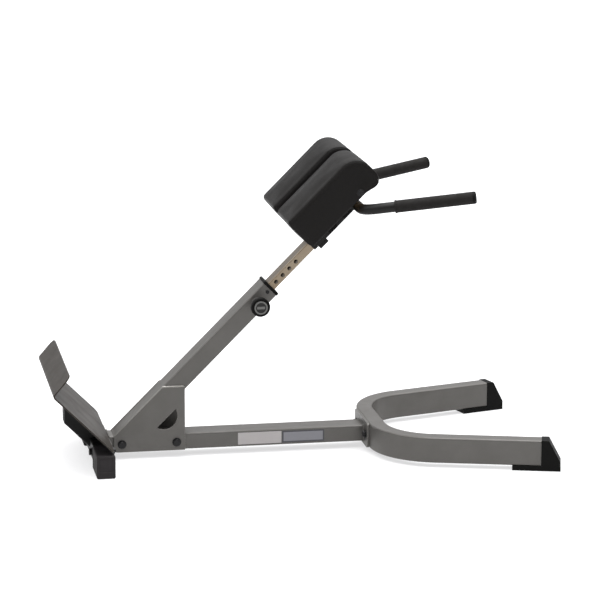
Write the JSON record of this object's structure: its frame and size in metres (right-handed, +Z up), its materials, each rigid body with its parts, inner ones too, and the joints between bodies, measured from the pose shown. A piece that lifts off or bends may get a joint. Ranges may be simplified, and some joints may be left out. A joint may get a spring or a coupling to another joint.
{
  "type": "roman chair",
  "caption": "Forty-five degree back-extension bench with twin hip pads on a telescoping post, foot plate, handles and a splayed rear base.",
  "frame": {"origin": "on the floor, under the middle of the bench's bounding box", "axes": "+X from the foot plate towards the splayed rear base, +Y to the user's left, +Z up"},
  "size_m": [1.3496, 0.7086, 0.8307],
  "materials": {
    "silver_paint": "silver metallic powder coat, satin",
    "black_paint": "black powder coat, satin",
    "foot_plate_paint": "dark grey powder coat, satin",
    "plated_tube": "bright zinc plate",
    "black_fasteners": "black zinc",
    "bright_fasteners": "bright zinc",
    "black_plastic": "fine moulded grain",
    "grey_plastic": "smooth",
    "foot_rubber": "matt",
    "grip_foam": "soft closed-cell foam",
    "pad_cover": "black upholstery vinyl over foam",
    "plywood": "raw plywood",
    "white_label": "printed film, left blank",
    "grey_label": "printed film, left blank"
  },
  "bodies": {
    "frame": {"main_beam": "silver_paint", "front_flange": "silver_paint", "rear_flange": "silver_paint", "rear_base": "silver_paint", "mast_tube": "silver_paint", "gusset_right": "silver_paint", "gusset_left": "silver_paint", "pin_weld_nut": "silver_paint", "front_stabiliser": "black_paint", "foot_arm": "black_paint", "foot_plate": "foot_plate_paint", "gusset_bolts": "black_fasteners", "gusset_washers": "black_fasteners", "gusset_nuts": "black_fasteners", "front_bolts": "black_fasteners", "front_washers": "black_fasteners", "front_nuts": "black_fasteners", "rear_bolts": "black_fasteners", "rear_washers": "black_fasteners", "rear_nuts": "black_fasteners", "guide_screw": "black_fasteners", "pin_barrel": "bright_fasteners", "pin_spring": "bright_fasteners", "guide_bushing": "black_plastic", "foot_arm_cap": "black_plastic", "rear_cap_right": "black_plastic", "rear_cap_left": "black_plastic", "front_foot_right": "foot_rubber", "front_foot_left": "foot_rubber", "size_label": "white_label", "notice_label": "grey_label"},
    "pad_carriage": {"adjust_tube": "plated_tube", "tail_glide": "black_plastic", "pad_post": "black_paint", "post_spacer": "black_paint", "post_end_plate": "black_paint", "post_block": "black_paint", "rail_plugs": "black_plastic", "post_bolt": "black_fasteners", "post_washer": "black_fasteners", "post_nut": "black_fasteners", "pad_rail_lower": "black_paint", "pad_rail_upper": "black_paint", "pad_bolts": "bright_fasteners", "pad_washers": "bright_fasteners", "handle_bar": "black_paint", "pad_board_right": "plywood", "pad_board_left": "plywood", "pad_right": "pad_cover", "pad_left": "pad_cover", "pad_side_screw_right": "bright_fasteners", "pad_side_screw_left": "bright_fasteners", "grip_right": "grip_foam", "grip_left": "grip_foam", "grip_plug_right": "black_plastic", "grip_plug_left": "black_plastic"},
    "pop_pin": {"pull_pin": "bright_fasteners", "pull_knob": "black_plastic", "knob_cap": "grey_plastic"}
  },
  "joints": [
    {"name": "pad_height", "type": "slide", "parent": "frame", "child": "pad_carriage", "axis": [0.7071, 0, 0.7071], "range_m": [-0.1524, 0.0508]},
    {"name": "pin_pull", "type": "slide", "parent": "frame", "child": "pop_pin", "axis": [0, -1, 0], "range_m": [-0.008, 0]}
  ]
}
